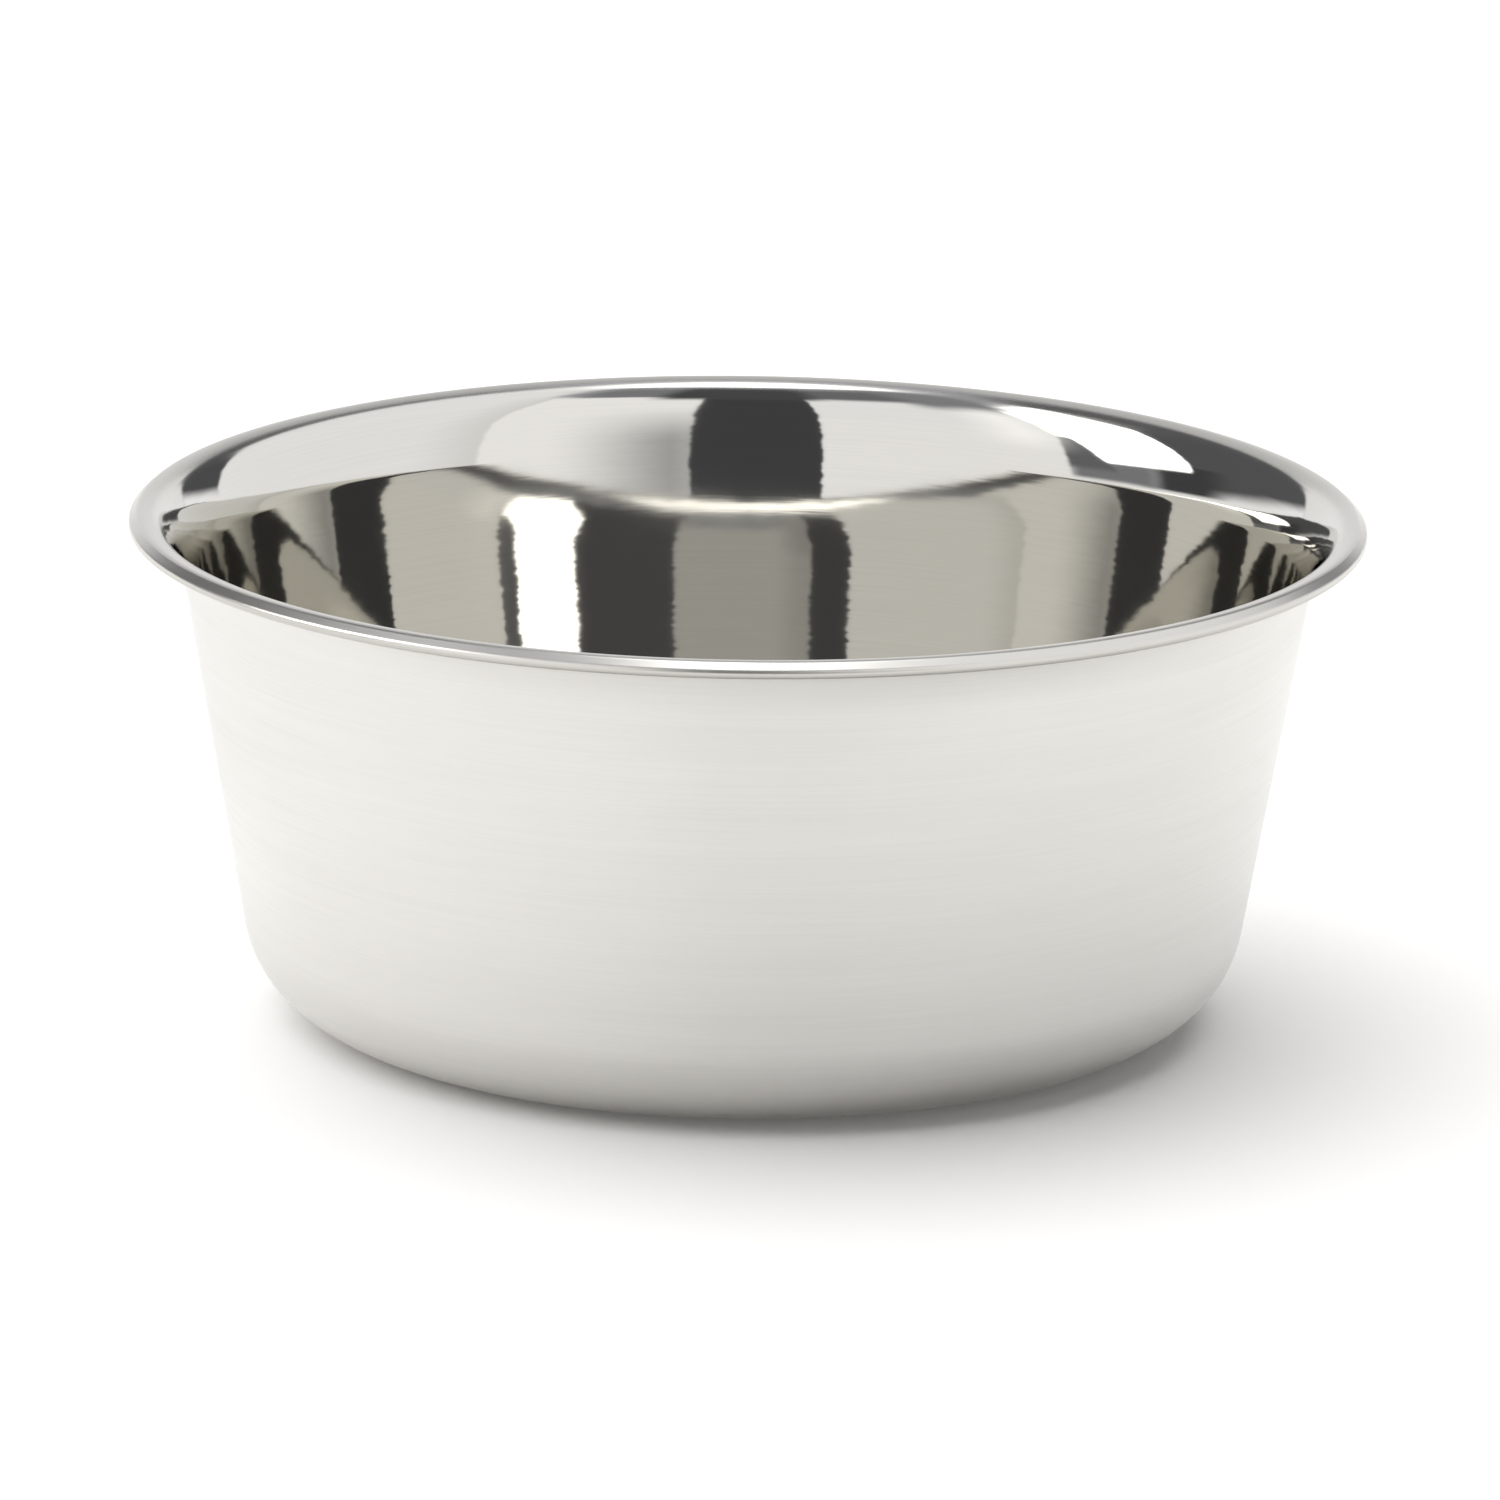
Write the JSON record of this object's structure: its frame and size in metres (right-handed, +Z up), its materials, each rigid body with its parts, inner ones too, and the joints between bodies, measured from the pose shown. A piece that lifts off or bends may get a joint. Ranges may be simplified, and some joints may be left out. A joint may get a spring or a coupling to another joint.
{
  "type": "pet bowl",
  "caption": "Deep drawn stainless steel pet bowl with a tapered wall, a flared lip and a rolled edge, standing on a flat foot ring.",
  "frame": {"origin": "on the table, under the axis of the bowl", "axes": "+Z up along the axis of the bowl; X and Y lie in the table's plane"},
  "size_m": [0.21, 0.21, 0.0868],
  "materials": {
    "steel": "mirror polished inside and on the lip, satin outside"
  },
  "bodies": {
    "root": {"bowl": "steel"}
  },
  "joints": []
}
